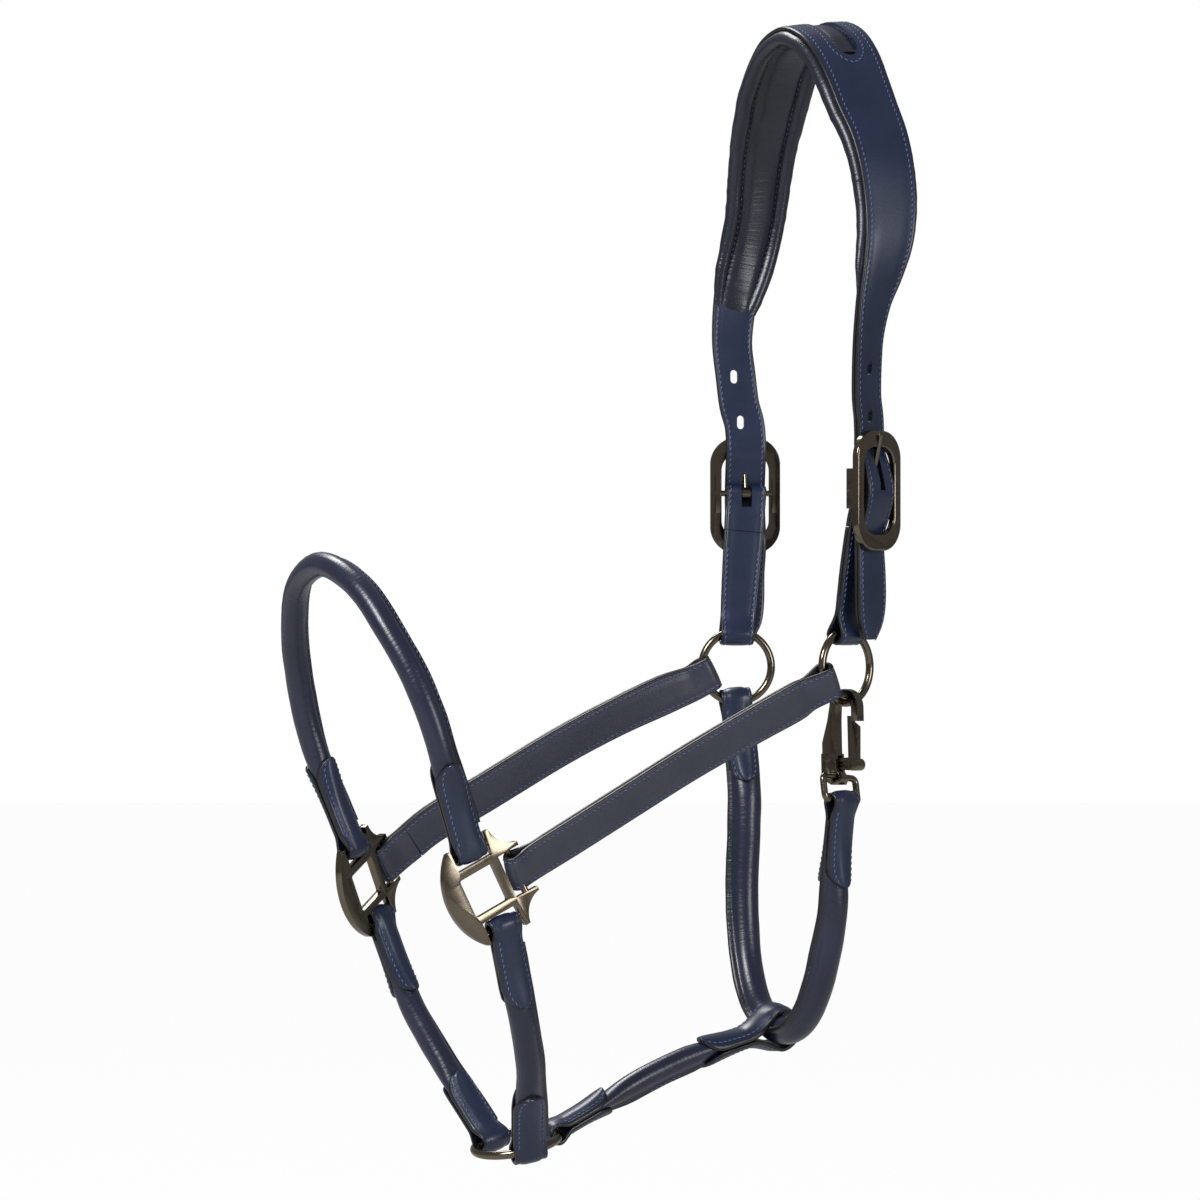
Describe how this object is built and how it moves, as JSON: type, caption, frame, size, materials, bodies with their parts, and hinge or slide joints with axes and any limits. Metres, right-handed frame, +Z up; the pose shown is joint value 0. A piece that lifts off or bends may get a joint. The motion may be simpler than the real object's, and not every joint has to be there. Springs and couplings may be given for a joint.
{
  "type": "horse headcollar",
  "caption": "Leather headcollar with a padded crown, adjustable cheek buckles, rolled noseband, chin, jowl and throat straps, metal rings and a trigger snap.",
  "frame": {"origin": "underside of the crown at the poll, where it rests behind the horse's ears", "axes": "+X towards the nose, +Y to the horse's left, the near side, +Z up"},
  "size_m": [0.306, 0.1601, 0.5746],
  "materials": {
    "strap_leather": "dark navy strap leather, waxed, low sheen, blue thread",
    "lining_leather": "soft dark navy lining leather, fine creases",
    "padding": "felt padding, sealed inside the crown",
    "cord": "twisted cord core, sealed inside the rolled straps",
    "dark_metal": "black nickel plated cast hardware, polished",
    "spring_steel": "plain spring wire"
  },
  "bodies": {
    "leather": {"crown_lining": "lining_leather", "crown_outer": "strap_leather", "crown_padding": "padding", "far_billet_lining": "strap_leather", "far_buckle_bar": "dark_metal", "far_buckle_frame": "dark_metal", "far_chape": "strap_leather", "far_cheek_strap": "strap_leather", "far_chin_core": "cord", "far_chin_cover": "strap_leather", "far_chin_lower_tab": "strap_leather", "far_chin_upper_tab": "strap_leather", "far_square": "dark_metal", "jowl_core": "cord", "jowl_cover": "strap_leather", "jowl_front_tab": "strap_leather", "jowl_throat_loop": "strap_leather", "near_billet_lining": "strap_leather", "near_buckle_bar": "dark_metal", "near_buckle_frame": "dark_metal", "near_chape": "strap_leather", "near_cheek_strap": "strap_leather", "near_chin_core": "cord", "near_chin_cover": "strap_leather", "near_chin_lower_tab": "strap_leather", "near_chin_upper_tab": "strap_leather", "near_square": "dark_metal", "noseband_core": "cord", "noseband_cover": "strap_leather", "noseband_far_tab": "strap_leather", "noseband_near_tab": "strap_leather", "snap_eye": "dark_metal", "throat_core": "cord", "throat_cover": "strap_leather", "throat_far_tab": "strap_leather", "throat_near_tab": "strap_leather"},
    "near_ring": {"near_ring": "dark_metal"},
    "far_ring": {"far_ring": "dark_metal"},
    "chin_ring": {"chin_ring": "dark_metal"},
    "snap": {"snap_body": "dark_metal", "snap_rivet": "dark_metal"},
    "gate": {"snap_gate": "dark_metal", "snap_spring": "spring_steel"},
    "near_tongue": {"near_buckle_tongue": "dark_metal"},
    "far_tongue": {"far_buckle_tongue": "dark_metal"}
  },
  "joints": [
    {"name": "near_ring_spin", "type": "hinge", "parent": "leather", "child": "near_ring", "pos_m": [0.02, 0.0565, -0.313], "axis": [-0.3256, 0.9455, 0], "continuous": true},
    {"name": "far_ring_spin", "type": "hinge", "parent": "leather", "child": "far_ring", "pos_m": [0.02, -0.0565, -0.313], "axis": [0.3256, 0.9455, 0], "continuous": true},
    {"name": "chin_ring_spin", "type": "hinge", "parent": "leather", "child": "chin_ring", "pos_m": [0.1765, 0, -0.5495], "axis": [0.2323, 0.0968, 0.9678], "continuous": true},
    {"name": "snap_swing", "type": "hinge", "parent": "leather", "child": "snap", "pos_m": [0.02156, 0.05196, -0.368], "axis": [0.9408, 0.324, 0.0995], "range_deg": [-1.5, 1.5]},
    {"name": "gate_hinge", "type": "hinge", "parent": "snap", "child": "gate", "pos_m": [0.02293, 0.04799, -0.3614], "axis": [0.9455, 0.3256, 0], "range_deg": [0, 13], "stiffness_Nm_per_rad": 0.05, "springref_deg": -20.05},
    {"name": "near_tongue_hinge", "type": "hinge", "parent": "leather", "child": "near_tongue", "pos_m": [0.01065, 0.0634, -0.224], "axis": [-0.9205, -0.3907, 0], "range_deg": [0, 2.5]},
    {"name": "far_tongue_hinge", "type": "hinge", "parent": "leather", "child": "far_tongue", "pos_m": [0.01065, -0.0634, -0.224], "axis": [0.9205, -0.3907, 0], "range_deg": [0, 2.5]}
  ]
}
